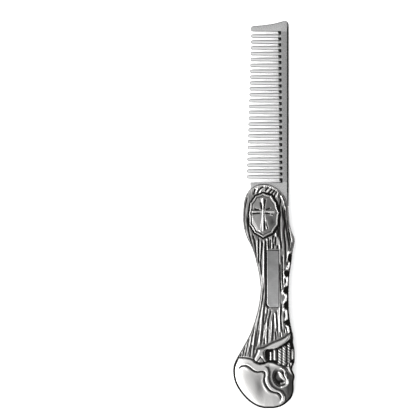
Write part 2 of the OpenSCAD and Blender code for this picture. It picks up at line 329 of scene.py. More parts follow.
def handle_grid():
    """Rows of points across the handle, closer together at its edges."""
    edge = spline(STATIONS, 24)
    step = np.abs(np.diff(edge, axis=0))
    run = np.hypot(step[:, 0], 0.6 * step[:, 1:].max(1))
    run = np.concatenate([[0], np.cumsum(run)])
    at = np.linspace(0, run[-1], HANDLE_ROWS)
    y, left, right = (np.interp(at, run, edge[:, k]) for k in range(3))
    outline = np.vstack([np.stack([right, y], -1), np.stack([left, y], -1)[::-1]])
    return *fill_rows(y, left, right, HANDLE_COLS, 0.45), outline


# ---------- the carved figure

CREST = [
    (-1.6, 9), (-5.3, 7.7), (-8, 3.8), (-8.7, -1.1), (-8.5, -6.8), (-5.8, -11.1),
    (-1.5, -13.6), (3.2, -11.1), (5.8, -7), (6.4, -0.9), (4.9, 4.1), (2.5, 7.8),
]
PLATE = [(0.5, -20.2), (6.4, -20.2), (6.4, -48.9), (1.9, -48.9), (0.5, -47.4)]

# Grooves between the folds of the hood round the crest and down to the plate
HOOD_GROOVES = [
    [(-9.4, 8.1), (-10, 5.5), (-10.6, 2.5), (-11, -0.5), (-11.2, -4), (-10.9, -7.5), (-10.1, -11)],
    [(-9.4, -1.5), (-9.5, -5), (-9.1, -8.5), (-8.5, -12), (-7.8, -15), (-7, -18), (-5.9, -21),
     (-5.1, -25)],
    [(-6.8, -11.5), (-6.4, -13.5), (-5.8, -15.5), (-5.5, -18), (-5.3, -21), (-4.9, -25)],
    [(-6.3, 8.2), (-5.9, 10), (-5.3, 11.4)],
    [(-4.3, 8.8), (-3.8, 10.2), (-2.7, 11.5), (-1, 12.4)],
    [(-0.4, 10), (0.4, 11.2), (1.6, 12)],
    [(1.2, 9), (2.2, 10.2), (3.5, 11.3)],
    [(2.8, 8.4), (3.7, 9.6), (4.8, 10.7)],
    [(4.2, 6.9), (4.6, 8.4), (5.6, 9.9)],
    [(6.7, 8.4), (7.4, 5.5), (7, 2.5), (6.9, -1), (6.9, -5), (7, -10), (7.2, -14), (7.7, -17),
     (7.9, -21)],
    [(8, 4.5), (8.3, 1), (8.8, -2.5), (9.4, -6), (9.2, -10), (9.4, -13), (9.9, -17), (10, -22),
     (9.9, -28)],
    [(9.3, 3), (9.5, -1), (9.8, -5), (10.3, -8.5), (10.8, -11.5), (11.4, -14.5), (12, -17.5),
     (12.6, -19.5)],
    [(10.9, -4), (11.3, -8), (11.9, -12), (12.5, -16)],
    [(6.1, -8), (6.2, -10.5), (6.2, -13.5)],
    [(4.1, -12.2), (3.5, -14), (3.3, -16)],
    [(3.9, -16.5), (3.8, -19.3)],
    [(4.9, -13), (4.9, -15), (4.8, -17.8)],
    [(5.9, -17.3), (5.9, -19.3)],
    [(2.4, -14.2), (2.3, -17), (2.2, -19.3)],
    [(1.1, -13.2), (1.2, -16), (1.3, -19.5)],
    [(-3.7, -13), (-3.8, -16), (-3.8, -20), (-3.8, -24), (-3.6, -27.5)],
    [(-1.7, -14.5), (-1.9, -17), (-2.2, -20), (-2.5, -23), (-2.7, -26), (-2.5, -30), (-2.2, -33.8)],
    [(7.1, -26), (7.1, -32), (7.3, -38), (7.5, -42)],
    [(8.2, -22), (8.2, -29), (8.3, -34), (8.5, -38.5)],
]
# Raised creases in the hood, polished with painted highlights
HOOD_RIDGES = [
    [(-9.2, 9.2), (-7.6, 10.9), (-5.5, 12.2), (-3, 13), (-0.5, 13), (2, 12.3), (4.5, 11.2), (6.4, 10)],
    [(-11, 6), (-11.4, 2.5), (-11.4, -1)],
    [(-4.9, 9.8), (-4.1, 11.5)],
    [(-3.3, 9.2), (-2, 10.9), (-0.6, 11.9)],
    [(0.4, 9.2), (2.4, 11.5)],
    [(1.9, 8.4), (3.8, 10.9)],
    [(3.5, 7.8), (5.2, 10.1)],
    [(5.5, 6.8), (6.2, 9.6)],
    [(7.3, 8.4), (8.4, 6), (9.3, 3.2), (9.9, 0)],
    [(5.9, 3.2), (6.2, 0), (6.2, -4)],
    [(4.5, -10), (5.3, -13)],
    [(2.9, -12.5), (2.8, -16), (2.9, -19.3)],
    [(0.6, -13.5), (0.5, -17), (0.9, -20)],
    [(6.7, -14), (6.8, -17), (7.3, -20)],
    [(-1, -14), (-1.1, -18), (-1.2, -24), (-1.3, -30), (-1.4, -34)],
    [(-4.5, -14), (-4.6, -19), (-4.4, -24)],
    [(-2.8, -15), (-3, -20), (-3.2, -26)],
    [(11.3, -4.5), (11.9, -9), (12.9, -13.5), (13.4, -17)],
    [(8.8, -29), (8.9, -33), (9, -37)],
    [(7.9, -35), (7.9, -38), (8.2, -41.5)],
]
# Grooves between the folds that fan out from the plate to the skull and jaw
SKIRT_GROOVES = [
    [(-0.8, -36), (-1.3, -41), (-1.9, -45.5), (-2.6, -49.5), (-3.4, -54), (-4.1, -58.5), (-4.8, -63),
     (-5.3, -67), (-5.8, -71), (-6.2, -74.5)],
    [(-0.4, -46), (-0.7, -49), (-1, -53), (-1.3, -57), (-1.6, -61), (-2, -65), (-2.5, -69)],
    [(0.9, -49.6), (0.7, -51.5), (0.2, -54), (-0.4, -56.5), (-1.2, -58.5)],
    [(2.7, -50.3), (2.1, -52.5), (1.5, -55.5), (1.3, -59)],
    [(3.9, -51.8), (3.8, -55), (3.7, -60), (3.6, -64), (3.5, -66.6)],
    [(5.3, -50.2), (5.4, -53), (5.8, -57), (5.9, -61), (6.3, -65)],
    [(7.8, -46), (7.9, -50), (7.6, -53.5), (7.7, -57), (8.1, -60), (8.6, -63)],
    [(9.4, -51.7), (9.4, -54.2)],
    [(9, -56), (9.9, -58.5), (10.4, -60.5), (10.9, -62.3)],
    [(9.2, -59.8), (9.5, -62.2)],
    [(-5.5, -57), (-6.2, -60), (-6.8, -63), (-7.5, -66.5), (-8.3, -70), (-9.3, -74)],
    [(-3.5, -60), (-4, -63.5), (-4.6, -67), (-5, -69.5)],
    [(-8.5, -64.5), (-9.6, -68.5), (-10.6, -74.3)],
    [(-10.6, -68.5), (-11.4, -71.5), (-11.9, -74.3)],
    [(-7, -67.5), (-7.8, -71), (-8.1, -74.5)],
    [(-12.6, -72.2), (-13.2, -74.2)],
    [(-0.9, -64.5), (-0.8, -68)],
    [(1.1, -60), (0.9, -64), (0.8, -67.4)],
    [(4.8, -61), (5.2, -65.6)],
    [(7.2, -61.5), (7.4, -64.2)],
]
SKIRT_RIDGES = [
    [(-1.3, -45), (-1.7, -49), (-2.2, -54), (-2.5, -58), (-2.9, -62), (-3.4, -66), (-3.5, -69)],
    [(0.1, -48.6), (-0.1, -52)],
    [(0.7, -54), (0.2, -58), (0.1, -63), (0.1, -68)],
    [(4.5, -51.5), (4.7, -55), (5.1, -60)],
    [(2.9, -55), (2.7, -60), (2.4, -64), (2.1, -67)],
    [(7, -47.5), (6.8, -51), (6.7, -55), (7, -60), (7.3, -63)],
    [(-4.4, -50), (-5.3, -55), (-5.6, -60), (-6.2, -65), (-6.9, -70), (-7, -74)],
    [(-7.6, -63), (-8.1, -67), (-9, -72), (-9, -74)],
    [(-9.4, -66.5), (-10.2, -70), (-10.6, -72)],
    [(-0.7, -60), (-0.9, -64)],
    [(-5.4, -70.5), (-5.6, -73)],
    [(-2.4, -35), (-2.2, -40), (-2.5, -44), (-3, -48)],
    [(7.9, -61.8), (8, -64)],
    [(9.9, -60), (10, -62)],
]

# Curls down the right edge: dark oxide in the pockets, and the raised lips between them polished with
# painted highlights
POCKETS = [
    # x, y, half width, half height, lean
    (12.1, -23.8, 1.1, 2.2, -12), (10.6, -31.8, 1.4, 1.6, 25), (10.3, -40.3, 1.4, 1.9, -15),
    (10.4, -48, 1.25, 2, -8), (11, -56.9, 1.6, 1.4, -25),
]
LIPS = [
    [(11.9, -20.2), (11.1, -22.3), (11.1, -24), (11.6, -26.3), (11.3, -28.3), (10.4, -29.6)],
    [(9, -30), (8.9, -32), (9.6, -33.6), (10.5, -33.9), (10.8, -35.8), (10.3, -37.6), (9.3, -38.6)],
    [(8.2, -40), (8.7, -41.8), (9.5, -42.1), (10.2, -43.4), (9.9, -45), (9, -46.8)],
    [(8.7, -49.5), (9.3, -50.3), (10.2, -50.4), (10.6, -52.5), (10.4, -54.6), (9.8, -56)],
    [(9.4, -57.5), (10.4, -58.2), (11.1, -60), (11.6, -62)],
]
CURL_HEARTS = [[(10.8, -25.6), (10.8, -27.6)], [(9.9, -34.6), (9.9, -36.6)]]

# Skull and jaw
JAW = [
    (12.4, -62.2), (10, -64.3), (8, -65.4), (5, -66.6), (2, -68), (-1, -69.7), (-3.9, -70.3),
    (-4.6, -72.3), (-5.9, -75.2), (-5.6, -76.3), (-4.2, -76.9), (0.2, -76.6), (-0.8, -74),
    (-0.9, -71.8), (0.4, -70.5), (3.2, -70.2), (5.9, -69.9), (8.3, -68.3), (10.3, -66.8),
    (11.8, -64.8),
]
CRANIUM = [
    (-16.9, -79), (-15.2, -76), (-13.6, -74.9), (-10.5, -74.9), (-7.8, -75.4), (-6.2, -76.2),
    (-4.4, -77.6), (-2.6, -78), (-0.8, -77.6), (1, -76.9), (3.3, -76.9), (6.2, -78.4),
    (9.2, -79.4), (11, -81.6), (13.2, -84.4), (15.5, -84.8), (15.5, -99), (0, -102),
    (-14, -98), (-17.5, -86),
]
SUTURE = [
    (-13.8, -80.1), (-12.4, -79), (-10.4, -78.7), (-8.8, -79.3), (-6.4, -81.1), (-4.4, -81.8),
    (-2, -81.6), (-0.8, -82.1), (-0.5, -83.5), (-0.9, -85.2), (-0.7, -87), (0.4, -89.4),
    (2.2, -91.4), (4, -92.1), (5.6, -92.4), (6.8, -93.2), (7.5, -94.6), (7.7, -95.8),
]
BROW = [
    (-1.6, -79.2), (0.1, -80.2), (0.7, -82.2), (0.5, -84.6), (1, -87.2), (2.4, -89.6),
    (4.6, -91.2), (7.2, -92.2), (8.5, -94.2), (8.3, -96.4), (6.8, -98.2),
]
FACE = BROW[:9] + [(8.8, -97), (12, -98.5), (16, -96), (16, -79), (6.5, -78.4), (1.5, -77.6)]
SOCKET_RIM = [
    (7.2, -79.9), (8.6, -80.6), (9.3, -82), (9.3, -83.6), (10.2, -85.1), (10.9, -86.8),
    (10.5, -88.2), (9, -89.1), (7.4, -89.5),
]
SOCKET_LEAF = [(6.1, -81.8), (7, -82.2), (7.4, -83.6), (8.4, -85), (9.7, -86.2)]
SOCKET_LID = [(7.3, -87.9), (8.6, -87.6), (9.8, -86.9)]
NOSE = [(11.6, -77.6), (11.2, -79.4), (11.7, -81.4), (12.8, -82.8), (13.8, -84)]
NOSE_INNER = [(12.7, -77.2), (12.7, -79.2)]
JAW_JOINT = [(-2.8, -74.2), (-4.9, -76.9), (-3.2, -77.7), (-0.6, -77.4)]
# Teeth: middle x, top y, bottom y, half width, 1 where the tooth is hatched
TEETH = [
    (2.4, -71.6, -75.9, 0.65, 0), (4.5, -70.4, -75.9, 0.8, 0), (7, -69.8, -78.2, 0.95, 1),
    (9.2, -68.6, -78.6, 0.95, 1), (11.5, -67.2, -77.4, 0.65, 1), (13.4, -70.4, -75.6, 0.4, 0),
]
SCREWS = [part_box(node) for node in ("waist_screw", "butt_screw")]


def base_height(x, y, outline):
    """Rounded casting: low at its edge, higher on the drapery, highest on the skull."""
    d = np.maximum(signed(x, y, outline), 0)
    skull = 1 - smooth(-78, -68, y)
    crown = DRAPE_H + (CROWN_H - DRAPE_H) * skull
    reach = 3.2 + 6.3 * skull
    share = np.sqrt(1 - (1 - np.clip(d / reach, 0, 1)) ** 2)
    return RIM_H + (crown - RIM_H) * share, d


def carve_drapery(r, d):
    """Folds, stopped at the crest, the plate, the curls and the skull."""
    cloth = smooth(0.0, 1.0, -signed(r.x, r.y, CRANIUM))
    cloth *= smooth(0.0, 0.7, -signed(r.x, r.y, JAW))
    cloth *= smooth(0.1, 0.7, d)
    # A light oxide on all the cloth, with painted shade added on the right of the hood and on the left
    # of the waist, and a painted highlight on the upper left of the hood.
    upper = smooth(-24, -18, r.y)
    top = smooth(5, 10.5, r.y) * smooth(-9.5, -4, r.x)
    patina_and_painted_shade = 0.24 + 0.2 * upper * smooth(4, 12, r.x)
    left = 0.26 + 0.2 * (1 - smooth(-22, -15, r.y))
    patina_and_painted_shade += left * (1 - smooth(-7, 0.5, r.x)) * smooth(-50, -38, r.y)
    r.oxide_and_shade += patina_and_painted_shade * cloth * (1 - top)
    r.polish_and_highlight(top * cloth)
    for line in HOOD_GROOVES:
        r.stroke(line, 0.4, -0.48, 1.0, keep=cloth)
    for line in SKIRT_GROOVES:
        r.stroke(line, 0.34, -0.36, 0.85, keep=cloth)
    # Ridges are polished, with painted highlights.
    for line in HOOD_RIDGES + SKIRT_RIDGES:
        r.stroke(line, 0.24, 0.2, -0.5, keep=cloth)
    fine = np.sin(7.5 * r.x + 0.9 * np.sin(0.35 * r.y)) * np.sin(0.21 * r.y + r.x)
    below = smooth(0.5, 2.0, -signed(r.x, r.y, PLATE))
    r.h += 0.05 * fine * cloth * below


def carve_curls(r):
    for line in LIPS:
        r.stroke(line, 0.42, 0.5, -1, ends=0.05)
    for x, y, rx, ry, lean in POCKETS:
        r.pit(x, y, rx, ry, 1.25, 1.0, lean, soft=0.3)
    for line in CURL_HEARTS:
        r.stroke(line, 0.35, -0.4, 0.9)
    edge = [(12.6, -21.5), (12.6, -26), (12.1, -30), (11.5, -36), (11.0, -43), (11.1, -50),
            (11.5, -55), (12.2, -60), (13.0, -64), (13.3, -70), (13.8, -76)]
    r.stroke(edge, 0.5, -0.3, 1.0, ends=0.03)


def carve_jaw(r):
    jaw = signed(r.x, r.y, JAW)
    on = smooth(-0.25, 0.9, jaw)
    moat = bell(jaw + 0.35, 0.4)
    r.h += 0.55 * on - 0.45 * moat
    r.oxide_and_shade = np.maximum(r.oxide_and_shade * (1 - on), 0.85 * moat)
    # The raised jaw is polished, with a painted highlight.
    r.highlight_and_polish = np.maximum(r.highlight_and_polish * (1 - on), on)
    mouth = [(-0.6, -70.6), (4, -70.1), (8.3, -68), (11.5, -65.6), (13.6, -63.5), (14.6, -72),
             (14, -79), (10.5, -79.6), (6, -77.6), (0.6, -76.8)]
    cavity = smooth(-0.1, 0.5, signed(r.x, r.y, mouth)) * (1 - on)
    r.h -= 0.95 * cavity
    r.blacken(0.97 * cavity)
    for x, y1, y0, half, hatched in TEETH:
        middle = (y0 + y1) / 2
        length = (y1 - y0) / 2
        bar = 1 - smooth(0.75, 1.25, np.abs(r.x - x) / half)
        bar *= 1 - smooth(0.88, 1.08, np.abs(r.y - middle) / length)
        crown = np.cos(np.clip((r.x - x) / half, -1, 1) * math.pi / 2) ** 0.5
        notch = 0.5 + 0.5 * np.sin(4.6 * (r.y + 0.8 * (r.x - x)))
        cut = 0.95 * hatched * smooth(0.5, 0.8, notch)
        r.h += bar * (0.7 + 0.35 * crown - 0.45 * cut)
        r.oxide_and_shade *= 1 - bar * (0.97 - 0.97 * cut)
        # Tooth crowns are polished, with painted highlights.
        r.polish_and_highlight(bar * crown * (1 - cut))
    r.pit(0.55, -73.2, 1.15, 2.6, 0.5, 1.0)
    corner = JAW_JOINT + JAW_JOINT[:1]
    for a, b in zip(corner[:-1], corner[1:]):
        r.stroke([a, b], 0.3, -0.5, 0.95, ends=0)
    r.stroke([(-2.9, -75.4), (-2.4, -76.8)], 0.25, -0.25, 0.6)


def carve_skull(r):
    cranium = signed(r.x, r.y, CRANIUM)
    on = smooth(-0.2, 0.8, cranium)
    moat = bell(cranium + 0.3, 0.35)
    r.h -= 0.5 * moat
    r.oxide_and_shade = np.maximum(r.oxide_and_shade * (1 - on), moat)
    face = smooth(-0.3, 1.8, signed(r.x, r.y, FACE))
    # Cranium polished with a painted highlight, stronger towards its top, and a weaker one on the
    # sunken face.
    crown = 0.6 + 0.4 * smooth(-84, -79, r.y)
    r.highlight_and_polish = np.maximum(r.highlight_and_polish * (1 - on), crown * on * (1 - face))
    r.h -= 0.55 * face
    r.polish_and_highlight(0.35 * face)
    # Painted shade on the right of the face.
    right = smooth(9.5, 13, r.x) * smooth(-100, -94, r.y) * (1 - smooth(-80, -77, r.y))
    r.blacken(0.62 * right)
    # Brow, suture ridges, socket rim, leaf, lid and nose are raised and polished with painted
    # highlights; the suture and the small cuts are black grooves.
    r.stroke(BROW, 0.6, 0.36, -1, ends=0.06)
    r.stroke([(x - 0.8, y - 0.7) for x, y in SUTURE[1:-1]], 0.55, 0.16, -0.9, ends=0.08)
    r.stroke([(x + 0.5, y + 0.8) for x, y in SUTURE[1:7]], 0.6, 0.14, -0.9, ends=0.08)
    r.stroke(SUTURE, 0.34, -0.85, 1.0, ends=0.06)
    # A shallow dent in the temple with less polish: painted shade in the middle of the dome.
    temple = smooth(0, 5, cranium) * (1 - face)
    dent_and_painted_shade = blob(r.x + 2.2, r.y + 90, 2.6, 6.0)
    r.h -= 0.3 * dent_and_painted_shade * temple
    r.highlight_and_polish *= 1 - 0.8 * dent_and_painted_shade * temple
    r.pit(6.8, -84.8, 3.0, 4.1, 1.15, 1.0, turn=20, soft=0.25)
    r.pit(6.2, -84.2, 2.1, 2.6, -0.6, 0, turn=20, soft=0.7)
    ball = blob(r.x - 6.6, r.y + 84.2, 1.6, 2.2)
    r.oxide_and_shade *= 1 - 0.45 * ball
    r.stroke(SOCKET_RIM, 0.36, 0.6, -1, ends=0.06)
    r.stroke(SOCKET_LEAF, 0.5, 0.75, -1, ends=0.1)
    r.stroke(SOCKET_LEAF[:3], 0.55, 0.2, -1, ends=0.1)
    r.stroke(SOCKET_LID, 0.5, 0.6, -0.6, ends=0.1)
    r.stroke([(8.3, -81.4), (8.5, -83.1), (9.3, -84.7), (10.1, -86.1)], 0.22, -0.4, 1.0)
    r.stroke([(7.6, -88.7), (8.9, -88.4), (10.0, -87.6)], 0.22, -0.35, 1.0)
    r.stroke(NOSE, 0.34, 0.6, -1, ends=0.04)
    r.stroke(NOSE_INNER, 0.3, 0.45, -1)
    r.stroke([(12.0, -77.6), (11.9, -79.6)], 0.25, -0.3, 1.0)


def carve_seats(r):
    """Moat and seat of the crest, and the seat and side groove of the name plate."""
    crest = facets(r.x, r.y, CREST)
    moat = 0.35 + 0.5 * smooth(-4, 5, r.x)
    seat = smooth(-moat - 0.4, -moat, crest)
    r.h = r.h * (1 - seat) + (CREST_SEAT_H - 0.05) * seat
    dark = smooth(-moat - 0.6, -moat - 0.2, crest)
    r.blacken(dark)
    r.highlight_and_polish *= 1 - dark
    plate = signed(r.x, r.y, PLATE)
    seat = smooth(-0.28, -0.06, plate)
    r.h = r.h * (1 - seat) + (PLATE_SEAT_H - 0.03) * seat
    r.blacken(0.8 * smooth(-0.3, -0.05, plate))
    side = [(-0.2, -15), (-0.2, -20), (-0.05, -26), (-0.05, -36), (-0.05, -44), (0.0, -47.3),
            (0.6, -48.3), (1.4, -49.2)]
    r.stroke(side, 0.42, -0.95, 1.0, ends=0.02)


def carve_screw_holes(r):
    for low, high in SCREWS:
        x, y = (low.x + high.x) / 2 / MM, (low.y + high.y) / 2 / MM
        radius = (high.x - low.x) / 2 / MM + 0.15
        d = np.hypot(r.x - x, r.y - y)
        floor = SLOT_Z - low.z / MM - 0.8
        hole = 1 - smooth(radius, radius + 0.35, d)
        r.h = r.h * (1 - hole) + floor * hole
        r.blacken(0.9 * (1 - smooth(radius, radius + 0.6, d)))


def make_casting(name, material, rear):
    x, y, outline = handle_grid()
    height, d = base_height(x, y, outline)
    r = Relief(x, y, height)
    carve_drapery(r, d)
    carve_curls(r)
    carve_jaw(r)
    carve_skull(r)
    carve_seats(r)
    if rear:
        carve_screw_holes(r)
    lip = smooth(0.0, 0.5, d)
    h = np.minimum(RIM_H * (1 - lip) + np.maximum(r.h, 0.8) * lip, CROWN_H)
    # Painted shade: a dark line all round the casting's edge, wider round the skull.
    skull = 1 - smooth(-77, -73, y)
    rim = (0.8 + 0.2 * skull) * (1 - smooth(0.2 + 0.6 * skull, 0.6 + 0.75 * skull, d))
    r.blacken(rim)
    base = SLOT_Z if rear else FRONT_Z
    top = base - h if rear else base + h
    piece = grid_solid(name, x, y, top, base, r.tone(), material, wall_share=0.5)
    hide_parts("rear_casting" if rear else "front_casting")
    return piece


# ---------- crest badges

CROSS = (-1.65, -0.3)


def strip_grid(polygon, rows, cols):
    """Rows of points across a convex outline, from its first corner, the top, to its lowest."""
    ring = np.array(polygon)
    low = ring[:, 1].argmin()
    chains = (ring[: low + 1], np.vstack([ring[:1], ring[: low - 1 : -1]]))
    first, last = ring[0, 1], ring[low, 1]
    share = np.linspace(0, 1, rows)
    share = share - 0.1 * np.sin(2 * math.pi * share) / math.pi
    y = first + (last - first) * (0.001 + 0.998 * share)
    sides = [np.interp(-y, -chain[:, 1], chain[:, 0]) for chain in chains]
    return fill_rows(y, np.minimum(*sides), np.maximum(*sides), cols, 0.35)


def across_arm(x, y, direction, reach, narrow, wide):
    """How far across one flared arm of the cross each point is, below 1 inside it."""
    dx, dy = direction
    s = (x - CROSS[0]) * dx + (y - CROSS[1]) * dy
    t = (x - CROSS[0]) * -dy + (y - CROSS[1]) * dx
    half = narrow + (wide - narrow) * np.clip(s / reach, 0, 1) ** 1.3
    return np.where((s < -0.25) | (s > reach), 9, np.abs(t) / half)


# Dark grooves beside the arms and on the field, and raised lines on the arms and field polished with
# painted highlights
CREST_DARK = [
    [(-2.1, 0.6), (-2.4, 2.4), (-2.9, 4.7)],
    [(-1.1, 0.5), (-0.9, 2.5), (-0.5, 5.0), (-0.1, 6.2)],
    [(-1.0, -1.5), (-0.95, -4), (-0.8, -7), (-0.6, -9.7)],
    [(-0.4, -4.3), (0.1, -6.7), (0.9, -9.2)],
    [(-0.2, 0.7), (1.0, 1.0), (2.2, 1.6)],
    [(-0.6, -1.0), (0.8, -1.2), (2.2, -1.7)],
    [(-6.0, 1.2), (-4.8, 0.7), (-3.2, 0.5)],
    [(-7.2, -1.4), (-5.0, -1.2), (-2.6, -1.0)],
]
CREST_HIGHLIGHT_RIDGES = [
    [(-1.7, 6.6), (-1.65, 0), (-1.65, -10.2)],
    [(-7.9, -0.3), (-1.6, -0.3), (4.4, -0.3)],
    [(-0.75, -2.4), (-0.2, -5.6), (0.35, -9.3)],
    [(1.0, -1.7), (2.4, -2.0), (3.6, -2.4)],
    [(-3.6, -9.8), (-2.7, -10.6)],
]


def make_front_crest(material):
    x, y = strip_grid(CREST, 190, 130)
    border = facets(x, y, CREST)
    edge = facets(x, y, CREST, 0.28) + 0.18
    field = 0.75 + 0.3 * smooth(0.8, 6.5, edge)
    rim = bell(edge - 0.5, 0.38, 4)
    gutter = bell(edge - 1.2, 0.25)
    r = Relief(x, y, np.maximum(field - 0.15 * gutter, CREST_T * rim))
    across_x, along_y = x - CROSS[0], y - CROSS[1]
    # Field facets: a light oxide, with painted shade to the right of the upright arm and in a shallow
    # hollow at the lower right, and a painted highlight on a facet at the lower left
    inner = smooth(0.9, 1.5, edge)
    r.oxide_and_shade = 0.12 + 0.22 * smooth(-0.5, 2, across_x) * inner
    hollow = blob(x - 3.4, y + 5.6, 1.3, 2.4)
    r.oxide_and_shade += 0.35 * hollow
    r.h -= 0.12 * hollow
    r.blacken(0.8 * gutter)
    # Painted highlight along the raised rim, which is polished.
    r.highlight_and_polish = smooth(0.3, 0.7, rim)
    low_left = [(-7.4, -2.4), (-7.2, -5.9), (-4.6, -10.2), (-3.2, -10.6), (-4.6, -7.6)]
    lit = smooth(-0.3, 0.4, signed(x, y, low_left))
    r.oxide_and_shade *= 1 - lit
    r.polish_and_highlight(0.9 * lit)
    arms = [((0, 1), 6.9, 0.3, 1.15), ((0, -1), 9.9, 0.3, 1.7),
            ((1, 0), 6.1, 0.45, 1.1), ((-1, 0), 6.2, 0.45, 1.0)]
    for direction, reach, narrow, wide in arms:
        across = across_arm(x, y, direction, reach, narrow, wide)
        on = (1 - smooth(0.9, 1.06, across)) * inner
        roof = 1.15 + 0.2 * np.clip(1 - across, 0, 1)
        r.h = np.maximum(r.h, roof * on)
    for line in CREST_DARK:
        r.stroke(line, 0.38, -0.32, 1.0, keep=inner)
    for line in CREST_HIGHLIGHT_RIDGES:
        r.stroke(line, 0.22, 0.16, -1, ends=0.03, keep=inner)
    # Horizontal arm: raised and polished, with a painted highlight.
    bar = 1 - smooth(0.3, 0.55, np.abs(along_y))
    bar *= smooth(-8.1, -7.4, x) * (1 - smooth(3.9, 4.6, x))
    r.polish_and_highlight(bar * inner)
    r.oxide_and_shade *= 1 - bar * inner
    r.h = np.maximum(r.h, 1.38 * bar * inner)
    # Painted shade: a dark line round the badge's outer edge.
    r.blacken(1 - smooth(0.05, 0.2, border))
    base = level("front_crest", 0)
    top = base + np.clip(r.h, 0.4, CREST_T)
    piece = grid_solid("crest_front", x, y, top, base, r.tone(), material, wall_share=0.4)
    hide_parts("front_crest")
    return piece


def outline_rays():
    """Angles round the pivot, through every corner of the crest, and how far its outline is."""
    corners = [math.atan2(y, x) for x, y in CREST]
    angles = np.unique(np.concatenate([np.linspace(-math.pi, math.pi, 181)[:-1], corners]))
    far = []
    for a in angles:
        c, s = math.cos(a), math.sin(a)
        for (x0, y0), (x1, y1) in edges(CREST):
            cross = c * (y1 - y0) - s * (x1 - x0)
            if abs(cross) < 1e-9:
                continue
            reach = (x0 * (y1 - y0) - y0 * (x1 - x0)) / cross
            share = (x0 * s - y0 * c) / cross
            if reach > 0 and -1e-6 <= share <= 1 + 1e-6:
                far.append(reach)
                break
    return angles, np.array(far)


SCREW_BORE = 1.53
SINK_R = 3.1
SINK_FLOOR = 0.95
FIELD_DEPTH = 0.5
REAR_RIM = 1.15
FIELD_TONE = 0.42
RIM_TONE = 0.15


def make_rear_crest(material):
    """Rear badge: a raised rim, a sunken field and a boss round the pivot screw's counterbore."""
    angles, far = outline_rays()
    # Loops round the screw: radius, and depth below the badge's outer face
    boss = [(SCREW_BORE, CREST_T), (SCREW_BORE, SINK_FLOOR), (SINK_R, SINK_FLOOR), (SINK_R, 0.22),
            (SINK_R + 0.18, 0.06), (SINK_R + 0.45, 0.0), (SINK_R + 0.9, 0.08),
            (SINK_R + REAR_RIM, 0.4), (SINK_R + 1.35, FIELD_DEPTH)]
    loops = [(radius + 0 * far, z) for radius, z in boss]
    # Loops across the field, by their share of its width, which is slightly domed
    edge = SINK_R + 1.35
    loops += [(edge + share * (far - REAR_RIM - edge), FIELD_DEPTH - 0.06 * math.sin(math.pi * share))
              for share in (0.15, 0.35, 0.55, 0.75, 0.9)]
    # Loops of the rim, by how far they are in from the outline
    rim = [(REAR_RIM, 0.48), (1.0, 0.36), (0.85, 0.1), (0.65, 0.0), (0.35, 0.02), (0.12, 0.14),
           (0.0, 0.34), (0.0, CREST_T)]
    loops += [(far - depth, z) for depth, z in rim]
    n = len(angles)
    verts = []
    tones = []
    for radius, z in loops:
        verts += [(q * math.cos(a), q * math.sin(a), z) for q, a in zip(radius, angles)]
        tones += [FIELD_TONE if 0.3 < z < 0.9 else RIM_TONE] * n
    rows = [[*range(k * n, k * n + n), k * n] for k in range(len(loops))]
    faces = []
    for a, b in zip(rows, rows[1:] + rows[:1]):
        faces += [f[::-1] for f in quads(a, b)]
    piece = add_piece("crest_rear", verts, faces, material, tones)
    piece.data.set_sharp_from_angle(angle=math.radians(40))
    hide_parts("rear_crest")
    return piece


# ---------- flat pieces


def key(point):
    return tuple(round(c, 4) for c in point)


def mirrored_plate(name, polygons, middle, material, oxide_and_shade=()):
    """Closed plate from the polygons of its upper face, each corner (x, y, height over the
    middle); the lower face mirrors the upper one, and walls join their free edges."""
    index, points = {}, []

    def number(p):
        k = key(p)
        if k not in index:
            index[k] = len(points)
            points.append(k)
        return index[k]

    tops = [[number(p) for p in polygon] for polygon in polygons]
    n = len(points)
    used = {}
    for corners in tops:
        for a, b in zip(corners, corners[1:] + corners[:1]):
            used.setdefault(frozenset((a, b)), []).append((a, b))
    verts = [(x, y, middle + h * share) for share in (1, -1) for x, y, h in points]
    faces = [tuple(f) for f in tops] + [tuple(v + n for v in f[::-1]) for f in tops]
    tone_at = dict(oxide_and_shade)
    tones = [tone_at.get(p, 0.0) for p in points] * 2
    # Walls have a row of corners just inside each edge, where the edge's tone ends
    rows = {}
    for sides in used.values():
        if len(sides) == 1:
            a, b = sides[0]
            for v in (a, b):
                if v not in rows:
                    rows[v] = [v, len(verts), len(verts) + 1, v + n]
                    x, y, h = points[v]
                    verts += [(x, y, middle + 0.8 * h), (x, y, middle - 0.8 * h)]
                    tones += [0.3 * tones[v]] * 2
            faces += [(rows[b][k], rows[a][k], rows[a][k + 1], rows[b][k + 1]) for k in range(3)]
    obj = add_piece(name, verts, faces, material, tones)
    obj.data.set_sharp_from_angle(angle=math.radians(50))
    flat = obj.modifiers.new("flat_faces", "WEIGHTED_NORMAL")
    flat.keep_sharp = True
    flat.weight = 100
    return obj


def inset(ring, depth):
    """A closed outline, counterclockwise, moved in by depth."""
    out = []
    n = len(ring)
    for i in range(n):
        a, b, c = (Vector(ring[(i + k) % n][:2]) for k in (-1, 0, 1))
        before, after = (b - a).normalized(), (c - b).normalized()
        normal = Vector((-before.y - after.y, before.x + after.x))
        normal.normalize()
        lean = max(normal.dot(Vector((-before.y, before.x))), 0.5)
        out.append(tuple(b + normal * depth / lean))
    return out


def make_name_plate(name, node, material):
    """Blank plate with a narrow bevelled frame round its slightly sunken face."""
    low, high = level(node, 0), level(node, 1)
    half = (high - low) / 2
    outer = PLATE[::-1]
    rings = [outer] + [inset(outer, depth) for depth in (0.12, 0.32, 0.5)]
    heights = (half - 0.14, half, half, half - 0.07)
    loops = [[(*p, z) for p in ring] for ring, z in zip(rings, heights)]
    polygons = []
    for a, b in zip(loops[:-1], loops[1:]):
        polygons += quads(a + a[:1], b + b[:1])
    polygons.append(loops[-1])
    piece = mirrored_plate(name, polygons, (low + high) / 2, material)
    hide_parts(node)
    return piece


